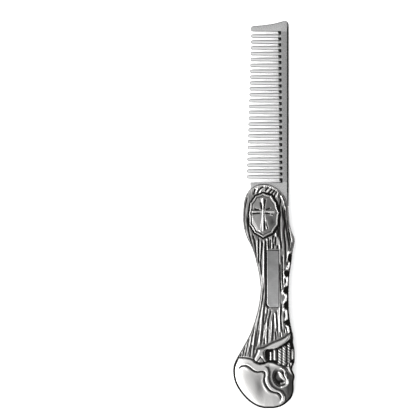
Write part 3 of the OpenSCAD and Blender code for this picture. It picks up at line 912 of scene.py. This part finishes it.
# Comb plate: the spine's outer edge is at SPINE_X and the tips of the teeth are to its left
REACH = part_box("comb_plate")[1].y / MM
COMB_H = (level("comb_plate", 1) - level("comb_plate", 0)) / 2
COMB_MID = (level("comb_plate", 1) + level("comb_plate", 0)) / 2
SPINE_X = 11.6
SPINE_W = 4.75
SPINE_TAPER = 0.0095
TANG_TOP = 14.6
TANG_END = 2.7
TANG_R = 9
TANG_BORE = 2.53
GUARD_Y = REACH - 5.4
HOOK_Y = REACH - 1.7
FIRST_Y = 17.4
LAST_Y = GUARD_Y - 2.3
TEETH_N = 25
TOOTH_HALF = 0.9
EDGE = 0.4
ROOT_H = 0.2
RAMP = 1.5
# Rounding of the spine's edge: how far in from the edge, and how far below the face
ROUNDING = [(0.95, 0), (0.76, 0.03), (0.4, 0.17), (0, 0.5)]


def tip_x(y):
    return 9.9 - 0.032 * (y - FIRST_Y)


def root_x(y):
    return SPINE_X - SPINE_W - SPINE_TAPER * (y - FIRST_Y)


def outer_edge(y, lean=0.0):
    """Corners across the spine's rounded outer edge, at y or leaning off it."""
    return [(SPINE_X - c, y - lean * c, COMB_H - d) for c, d in ROUNDING]


def beside(point):
    """Corner next to the end of a ramp, where the flat of the spine starts."""
    return (point[0] + 0.15, *point[1:])


def comb_side(y, up):
    """Points where one side of a tooth meets the spine, for a side at y facing up or down: at the
    root (a), on the ramp (b) and at its end (e), each with one on the face (ai, bi, ei), and at
    the bottom of the gap (c)."""
    x0, sign = root_x(y), 1 if up else -1
    side = {"c": (x0, y + sign * 0.03, ROOT_H)}
    low = COMB_H - EDGE
    for name, x, z in (("a", x0, low), ("b", x0 + 0.8 * RAMP, low), ("e", x0 + RAMP, COMB_H)):
        side[name] = (x, y, z)
        side[name + "i"] = (x, y - sign * EDGE, COMB_H)
    return side


def faces_up(side):
    return side["a"][1] > side["ai"][1]


def between(low, high, names):
    """Faces between the same corners of two sides."""
    return quads([low[k] for k in names], [high[k] for k in names])


def gap_polygons(sides, dark):
    """Bevels where the teeth meet the spine, and the ramp at the root of each gap."""
    out = []
    for s in sides:
        # Painted shade: the bevels at the roots of the gaps are black.
        dark.update({key(s[k]): 1.0 for k in "abce"})
        bevels = [[s["ai"], s["bi"], s["b"], s["a"]], [s["bi"], s["ei"], s["e"], s["b"]],
                  [s["a"], s["b"], s["c"]]]
        out += [f[::-1] if faces_up(s) else f for f in bevels]
    for low, high in zip(sides[0::2], sides[1::2]):
        # One corner of each ramp stays nearly clean: a painted highlight on that facet.
        dark[key(low["c"])] = 0.1
        out += between(low, high, "cbe")
    return out


def tooth_polygons(y, low, high, dark):
    """Face and rounded tip of the tooth at y, between its two sides."""
    middle = (-tip_x(y) + TOOTH_HALF, y)
    turn = range(90, 271, 20)
    rim = arc(TOOTH_HALF, turn, middle, (COMB_H - EDGE,))
    core = arc(TOOTH_HALF - EDGE, turn, middle, (COMB_H,))
    # Painted shade: a dark line along the bevelled rim of each tooth.
    dark.update({key(p): 1.0 for p in rim})
    out = quads(rim, core)
    out.append([rim[-1], low["a"], low["ai"], core[-1]])
    out.append([high["a"], rim[0], core[0], high["ai"]])
    out.append([high["ai"]] + core + [low["ai"]])
    return out + between(low, high, ("ai", "bi", "ei"))


def spine_polygons(sides, dark):
    """Columns from the ends of the ramps to the spine's rounded outer edge."""
    ends = []
    for s in sides:
        ends += [s["ei"], s["e"]] if faces_up(s) else [s["e"], s["ei"]]
    rows = [[p, beside(p)] + outer_edge(p[1]) for p in ends]
    out = []
    for a, b in zip(rows[:-1], rows[1:]):
        out += quads(a, b)
        dark.update({key(p): 1.0 for p in a[3:] + b[3:]})
    return out


def guard_polygons(side, dark):
    """Guard tooth: rounded left end, hollow upper edge, hooked corner over the spine."""
    y = GUARD_Y
    start = -tip_x(y) - 0.3
    upper = spline([(SPINE_X - 2.4, REACH), (6.7, REACH - 0.75), (3.5, REACH - 1.5),
                    (-1.4, REACH - 2.15), (start + 1.2, y + 2.8)], 3)
    loop = [(root_x(y), y), (start + 1, y), (start + 0.2, y + 0.4), (start, y + 1.4),
            (start + 0.3, y + 2.3), *[tuple(p) for p in upper[::-1]], (SPINE_X - 1.3, REACH - 0.1),
            (SPINE_X - 0.5, REACH - 0.6), (SPINE_X, HOOK_Y), (SPINE_X, y + EDGE)]
    rim = [(*p, COMB_H - EDGE) for p in loop]
    core = [(*p, COMB_H) for p in inset(loop[::-1], EDGE)[::-1]]
    # The side of the gap below it, the hook and the spine set the corners at both ends
    bend = outer_edge(y + EDGE)
    hook = outer_edge(HOOK_Y, 0.2)
    rim[0], core[0] = side["a"], side["ai"]
    rim[-1], core[-1] = bend[-1], bend[0]
    rim[-2], core[-2] = hook[-1], hook[0]
    # Painted shade: a dark line along the guard's rim.
    for p in rim:
        dark.setdefault(key(p), 0.9)
    out = [[rim[i + 1], rim[i], core[i], core[i + 1]] for i in range(len(loop) - 3)]
    out.append([hook[3], rim[-3], core[-3], hook[0], hook[1], hook[2]])
    out += quads(bend, hook)
    out.append([side["ai"], side["bi"], side["ei"], beside(side["ei"]), bend[0],
                *core[1:-1][::-1]])
    return out


def tang_polygons(side):
    """Tang: hidden between the castings, with the bore for the pivot barrel."""
    h = COMB_H
    bottom = (0.0, -TANG_R)
    outline = [(0.0, TANG_TOP), (-7.4, TANG_TOP), (-8.1, TANG_TOP - 0.3), (-8.4, TANG_TOP - 1),
               *arc(TANG_R, range(201, 270, 6)), bottom, *arc(TANG_R, range(273, 354, 6)),
               (8.4, -0.4), (8.4, TANG_END), (SPINE_X, TANG_END), (SPINE_X, TANG_TOP - EDGE)]
    rim = [(*p, h - EDGE) for p in outline]
    core = [(*p, h) for p in inset(outline + [(root_x(TANG_TOP), TANG_TOP)], EDGE)]
    low_edge = outer_edge(TANG_END + 0.2, 0.2)
    low_edge[-1] = (SPINE_X, TANG_END, h - 0.5)
    high_edge = outer_edge(TANG_TOP - EDGE)
    middle = outline.index(bottom)
    core[0] = (0.0, TANG_TOP - EDGE, h)
    core[middle] = (0.0, EDGE - TANG_R, h)
    end = len(outline) - 2
    out = quads(rim[:end], core[:end])
    out.append([rim[end - 1], *low_edge[::-1], core[end - 1]])
    out += quads(low_edge, high_edge)
    out.append([side["a"], rim[0], core[0], side["ai"]])
    left_bore = arc(TANG_BORE, range(90, 271, 10), height=(h,))
    right_bore = [(-x, y, z) for x, y, z in left_bore]
    out.append(core[: middle + 1] + left_bore[::-1])
    out.append([*core[middle:end], low_edge[0], high_edge[0], beside(side["ei"]), side["ei"],
                side["bi"], side["ai"], core[0], *right_bore])
    return out


def make_comb(material):
    ys = [FIRST_Y + i * (LAST_Y - FIRST_Y) / (TEETH_N - 1) for i in range(TEETH_N)]
    sides = [comb_side(TANG_TOP, True)]
    for y in ys:
        sides += [comb_side(y - TOOTH_HALF, False), comb_side(y + TOOTH_HALF, True)]
    sides.append(comb_side(GUARD_Y, False))
    dark = {}
    polygons = gap_polygons(sides, dark)
    for y, low, high in zip(ys, sides[1::2], sides[2::2]):
        polygons += tooth_polygons(y, low, high, dark)
    polygons += spine_polygons(sides, dark)
    polygons += guard_polygons(sides[-1], dark)
    polygons += tang_polygons(sides[0])
    piece = mirrored_plate("comb_blade", polygons, COMB_MID, material, dark)
    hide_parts("comb_plate")
    return piece


# ---------- materials


class Nodes:
    """Short way to add shader nodes to one material or to the world."""

    def __init__(self, owner, shader="Principled BSDF"):
        owner.use_nodes = True
        self.owner = owner
        self.tree = owner.node_tree
        self.shader = self.tree.nodes[shader]

    def feed(self, node, inputs):
        """Link a socket, or set a constant, on each of a node's inputs."""
        for name, value in inputs.items():
            if isinstance(value, bpy.types.NodeSocket):
                self.tree.links.new(value, node.inputs[name])
            else:
                node.inputs[name].default_value = value

    def finish(self, inputs):
        self.feed(self.shader, inputs)
        return self.owner

    def add(self, kind, inputs=(), **settings):
        node = self.tree.nodes.new("ShaderNode" + kind)
        for name, value in settings.items():
            setattr(node, name, value)
        self.feed(node, dict(inputs))
        return node

    def noise(self, where, scale, detail):
        node = self.add("TexNoise", {"Vector": where, "Scale": scale, "Detail": detail,
                                     "Roughness": 0.6})
        return node.outputs["Fac"]

    def remap(self, value, low, high, to_low=0.0, to_high=1.0):
        node = self.add("MapRange", {"Value": value, "From Min": low, "From Max": high,
                                     "To Min": to_low, "To Max": to_high})
        return node.outputs["Result"]

    def math(self, operation, a, b, c=0.0):
        return self.add("Math", {0: a, 1: b, 2: c}, operation=operation).outputs[0]

    def mix(self, factor, a, b):
        return self.add("Mix", {"Factor": factor, 6: a, 7: b}, data_type="RGBA").outputs[2]

    def bump(self, height, distance, strength=0.5):
        node = self.add("Bump", {"Height": height, "Distance": distance, "Strength": strength})
        return node.outputs["Normal"]

    def place(self):
        return self.add("TexCoord").outputs["Object"]

    def split(self, where):
        return self.add("SeparateXYZ", {0: where}).outputs

    def stretched(self, where, sx, sy):
        return self.add("Mapping", {"Vector": where, "Scale": (sx, sy, 1)}).outputs["Vector"]

    def tone(self):
        """The tone of a piece, as Relief.tone gives it: oxide and painted shade above 0, polish and
        painted highlight below 0.
        """
        return self.add("Attribute", attribute_name="oxide_and_shade").outputs["Fac"]

    def uneven(self, noise, amount, middle):
        """A value that varies with a noise, by amount about its middle."""
        return self.math("MULTIPLY_ADD", self.math("SUBTRACT", noise, 0.5), amount, middle)

    def oxidised_and_shaded(self, dark, clean, black):
        """Clean metal that turns to dull black where it is dark with oxide and painted shade, which
        have no gloss of their own.
        """
        return {"Base Color": self.mix(dark, clean, black), "Specular IOR Level": 0.0,
                "Metallic": self.remap(dark, 0.8, 1.0, 1.0, 0.0)}


def new_material(name):
    return Nodes(bpy.data.materials.new(name))


def grey(v, warm=0.0):
    return (v * (1 + warm), v, v * (1 - warm), 1)


def silver(name, bright, warm=0.012):
    """Antique silver casting: polished high spots with painted highlights, black oxide in the hollows,
    painted shade on some slopes and edges, cast grain.
    """
    m = new_material(name)
    where = m.place()
    oxide_and_shade = m.tone()
    patchy = m.noise(where, 420, 4)
    grain = m.noise(where, 3800, 2)
    dark = m.remap(m.uneven(patchy, 0.35, oxide_and_shade), 0.05, 0.85)
    polish_and_highlight = m.remap(oxide_and_shade, 0.0, -1.0)
    clean = m.mix(patchy, grey(bright * 0.88, warm), grey(bright, warm))
    # Painted highlight: polished spots turn near white.
    clean = m.mix(polish_and_highlight, clean, grey(0.95, warm))
    rough = m.uneven(grain, 0.14, m.math("MULTIPLY_ADD", dark, 0.5, 0.24))
    height = m.math("ADD", m.math("MULTIPLY", grain, 0.5), patchy)
    return m.finish({**m.oxidised_and_shaded(dark, clean, grey(0.006, 0.05)), "Roughness": rough,
                     "Normal": m.bump(height, 0.00004, 0.6)})


def comb_steel():
    """Satin steel: darker sand-brushed spine, bright polished teeth, painted shade at the roots of the
    gaps and along the rims of the teeth.
    """
    m = new_material("comb_steel")
    where = m.place()
    x, y, _ = m.split(where)
    line = m.math("MULTIPLY_ADD", y, SPINE_TAPER, x)
    edge = (SPINE_X - SPINE_W + SPINE_TAPER * FIRST_Y) * MM
    spine = m.remap(line, edge - 0.0005, edge + 0.0004)
    guard = m.remap(y, (GUARD_Y - 0.2) * MM, (GUARD_Y + 0.1) * MM)
    tang = m.remap(y, (TANG_TOP + 0.4) * MM, (TANG_TOP + 0.1) * MM)
    ends = m.math("MAXIMUM", guard, tang)
    satin = m.math("MAXIMUM", spine, ends)
    speckle = m.noise(where, 2600, 3)
    brushed = m.noise(m.stretched(where, 9, 1), 900, 3)
    plain = m.mix(speckle, grey(0.44), grey(0.76))
    plain = m.mix(m.math("MULTIPLY", ends, 0.75), plain, grey(0.93))
    colour = m.mix(satin, m.mix(brushed, grey(0.90), grey(0.98)), plain)
    dark = m.remap(m.tone(), 0.0, 0.6)
    rough = m.math("MULTIPLY_ADD", dark, 0.3, m.math("MULTIPLY_ADD", satin, -0.22, 0.5))
    height = m.math("ADD", brushed, m.math("MULTIPLY", speckle, satin))
    return m.finish({**m.oxidised_and_shaded(dark, colour, grey(0.006)),
                     "Roughness": m.uneven(brushed, 0.16, rough),
                     "Normal": m.bump(height, 0.00002)})


def satin_plate():
    """Finely brushed blank plate, with painted light: brighter towards its lower end."""
    m = new_material("satin_plate")
    where = m.place()
    brushed = m.noise(m.stretched(where, 1, 14), 520, 4)
    cloud = m.noise(where, 160, 2)
    # Painted light: the plate is brighter towards its lower end.
    painted_light_gradient = m.remap(m.split(where)["Y"], PLATE[0][1] * MM, PLATE[2][1] * MM)
    tone = m.math("MULTIPLY_ADD", painted_light_gradient, 0.42, m.math("MULTIPLY", brushed, cloud))
    return m.finish({"Base Color": m.mix(tone, grey(0.18), grey(0.78)), "Metallic": 1,
                     "Roughness": m.math("MULTIPLY_ADD", brushed, 0.22, 0.26),
                     "Normal": m.bump(brushed, 0.000015)})


def turned_metal(name, light, roughness, warm=0.0):
    """Turned or pressed hardware: fine scratches and a slightly uneven colour."""
    m = new_material(name)
    where = m.place()
    scratch = m.noise(m.stretched(where, 1, 6), 1500, 3)
    colour = m.mix(m.noise(where, 300, 3), grey(light * 0.8, warm), grey(light, warm))
    return m.finish({"Base Color": colour, "Metallic": 1,
                     "Roughness": m.math("MULTIPLY_ADD", scratch, 0.2, roughness - 0.1),
                     "Normal": m.bump(scratch, 0.00001)})


def paint(node, material):
    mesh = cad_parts[node].data
    mesh.materials.clear()
    mesh.materials.append(material)


# ---------- the object

casting_silver = silver("casting_silver", 0.46)
crest_silver = silver("crest_silver", 0.46)
plate_metal = satin_plate()

front = make_casting("casting_front", casting_silver, rear=False)
rear = make_casting("casting_rear", casting_silver, rear=True)
crest_front = make_front_crest(crest_silver)
crest_rear = make_rear_crest(crest_silver)
plate_front = make_name_plate("plate_front", "front_name_plate", plate_metal)
plate_rear = make_name_plate("plate_rear", "rear_name_plate", plate_metal)
blade = make_comb(comb_steel())

for piece, body, finish in [
    (front, "handle", "antique_casting"),
    (rear, "handle", "antique_casting"),
    (crest_front, "handle", "antique_badge"),
    (crest_rear, "handle", "antique_badge"),
    (plate_front, "handle", "satin_plate"),
    (plate_rear, "handle", "satin_plate"),
    (blade, "comb", "comb_steel"),
]:
    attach(piece, body)

paint("back_spacer", turned_metal("spacer_metal", 0.30, 0.42))
paint("pivot_barrel", turned_metal("pivot_steel", 0.62, 0.25))
screw_metal = turned_metal("screw_steel", 0.66, 0.25)
for node in ("pivot_screw", "waist_screw", "butt_screw"):
    paint(node, screw_metal)
brass = turned_metal("washer_brass", 0.55, 0.3, 0.28)
for node in ("front_washer", "rear_washer"):
    paint(node, brass)

# ---------- floor, light and camera

FLOOR = 1.2
paper = new_material("floor_paper")
fibre = paper.noise(paper.place(), 60, 2)
paper.finish({"Base Color": paper.mix(fibre, grey(0.90), grey(0.92)), "Roughness": 0.9})
corners = [(-FLOOR, -FLOOR, 0), (FLOOR, -FLOOR, 0), (FLOOR, FLOOR, 0), (-FLOOR, FLOOR, 0)]
floor = add_object("floor", corners, [(0, 1, 2, 3)], paper.owner)
floor.location.z = -0.00005

# Pale wall round the floor, seen only by the camera, so that low views have a plain background
WALL_R = 1.15
WALL_H = 1.4
WALL_SIDES = 64
glow = new_material("wall_paper")
glow.finish({"Base Color": grey(0), "Emission Color": grey(0.96), "Emission Strength": 1})
foot = arc(WALL_R, np.arange(WALL_SIDES) * 360 / WALL_SIDES, height=(-0.01,))
wall = foot + [(x, y, WALL_H) for x, y, _ in foot]
low = [*range(WALL_SIDES), 0]
backdrop = add_object("backdrop", wall, quads(low, [k + WALL_SIDES for k in low]), glow.owner)
backdrop.visible_diffuse = False
backdrop.visible_glossy = False
backdrop.visible_shadow = False

# Sky: a bright side, a grey top and a dark side, as in a light tent with one black card
# Place from the dark side (0) over the top (0.5) to the bright side (1), and brightness there
SKY = [(0.0, 0.06), (0.28, 0.06), (0.42, 0.32), (0.5, 0.62), (0.64, 0.85), (0.74, 1.6),
       (0.82, 2.7), (0.94, 2.7), (1.0, 1.0)]
SKY_TOP = 2.7
TO_LIGHT = (-0.47, -0.17, 0)
world = bpy.data.worlds.new("studio")
bpy.context.scene.world = world
sky = Nodes(world, "Background")
where = sky.add("TexCoord").outputs["Generated"]
lean = sky.add("VectorMath", operation="DOT_PRODUCT")
sky.feed(lean, {0: where, 1: TO_LIGHT})
ramp = sky.add("ValToRGB", {"Fac": sky.math("ADD", lean.outputs["Value"], 0.5)})
elements = ramp.color_ramp.elements
while len(elements) < len(SKY):
    elements.new(0.5)
for element, (at, value) in zip(elements, SKY):
    element.position = at
    element.color = grey(value / SKY_TOP)
sky.finish({"Color": ramp.outputs["Color"], "Strength": SKY_TOP})


def area_light(name, place, size, power):
    data = bpy.data.lights.new(name, "AREA")
    data.shape = "RECTANGLE"
    data.size, data.size_y = size
    data.energy = power
    lamp = bpy.data.objects.new(name, data)
    lamp.location = place
    lamp.rotation_mode = "QUATERNION"
    lamp.rotation_quaternion = (-Vector(place)).to_track_quat("-Z", "Y")
    bpy.context.scene.collection.objects.link(lamp)
    return lamp


area_light("key_left", (-0.65, -0.25, 0.45), (0.35, 0.9), 3)
# Lifts the floor to white without a reflection in the metal
overhead = area_light("overhead", (0.05, 0.1, 0.9), (1.4, 1.4), 16)
overhead.visible_glossy = False

# Photograph's view: straight down on the front, with a long lens
VIEW_WIDTH = 212.2
VIEW_MIDDLE = (-29.6, 1.5)
camera_data = bpy.data.cameras.new("camera")
camera_data.sensor_width = 36
camera_data.lens = 150
camera = bpy.data.objects.new("camera", camera_data)
distance = VIEW_WIDTH * camera_data.lens / camera_data.sensor_width
camera.location = Vector((VIEW_MIDDLE[0], VIEW_MIDDLE[1], distance + FRONT_Z)) * MM
camera_data.clip_start, camera_data.clip_end = 0.05, 10
bpy.context.scene.collection.objects.link(camera)
bpy.context.scene.camera = camera
bpy.context.scene.view_settings.view_transform = "Standard"
